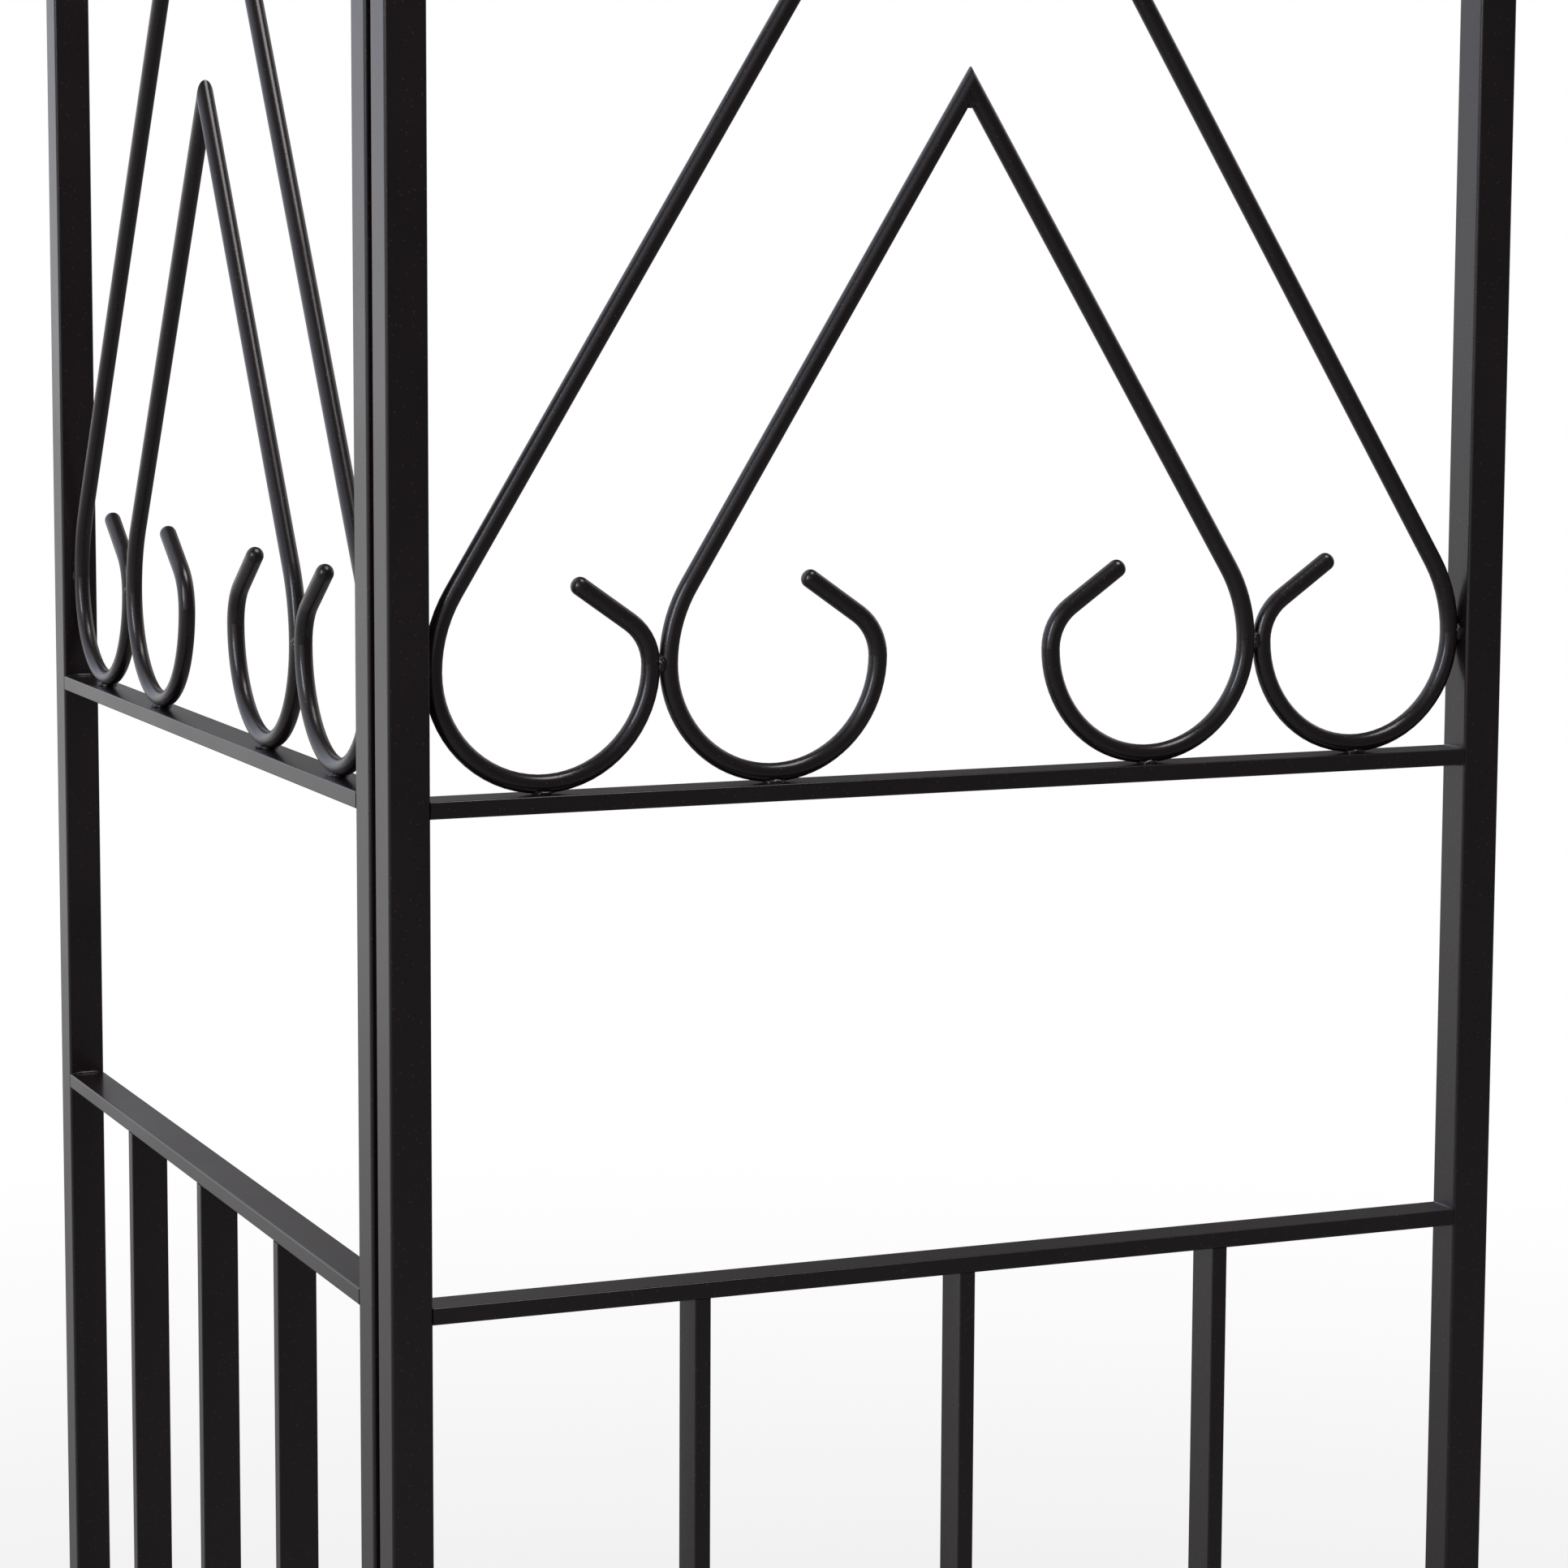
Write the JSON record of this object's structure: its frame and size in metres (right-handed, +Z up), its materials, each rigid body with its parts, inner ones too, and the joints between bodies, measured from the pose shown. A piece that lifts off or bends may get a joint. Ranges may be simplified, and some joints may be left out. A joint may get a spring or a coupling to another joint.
{
  "type": "gazebo corner leg",
  "caption": "Corner leg of a garden gazebo: two welded panels at a right angle, with square posts, flat rails and balusters, and round bar scrolls in pointed chevrons.",
  "frame": {"origin": "middle of the corner foot plate's underside, at ground level, between the two corner posts", "axes": "+Z up, +X along the front panel away from the corner, +Y along the side panel away from the corner"},
  "size_m": [0.769, 0.804, 2],
  "materials": {
    "powder_coat": "near-black satin powder coat",
    "cap_plastic": "black moulded plastic",
    "zinc_steel": "zinc-plated steel"
  },
  "bodies": {
    "root": {"corner_bolt_lower": "zinc_steel", "corner_bolt_upper": "zinc_steel", "corner_foot": "powder_coat", "corner_nut_lower": "zinc_steel", "corner_nut_upper": "zinc_steel", "corner_spacer_lower": "zinc_steel", "corner_spacer_upper": "zinc_steel", "front_baluster_1": "powder_coat", "front_baluster_2": "powder_coat", "front_baluster_3": "powder_coat", "front_bottom_rail": "powder_coat", "front_corner_post": "powder_coat", "front_corner_post_cap": "cap_plastic", "front_end_post": "powder_coat", "front_end_post_cap": "cap_plastic", "front_foot": "powder_coat", "front_hand_rail": "powder_coat", "front_scroll_1": "powder_coat", "front_scroll_2": "powder_coat", "front_scroll_3": "powder_coat", "front_scroll_4": "powder_coat", "front_scroll_rail": "powder_coat", "front_top_rail": "powder_coat", "side_baluster_1": "powder_coat", "side_baluster_2": "powder_coat", "side_baluster_3": "powder_coat", "side_bottom_rail": "powder_coat", "side_corner_post": "powder_coat", "side_corner_post_cap": "cap_plastic", "side_end_post": "powder_coat", "side_end_post_cap": "cap_plastic", "side_foot": "powder_coat", "side_hand_rail": "powder_coat", "side_scroll_1": "powder_coat", "side_scroll_2": "powder_coat", "side_scroll_3": "powder_coat", "side_scroll_4": "powder_coat", "side_scroll_rail": "powder_coat", "side_top_rail": "powder_coat"}
  },
  "joints": []
}
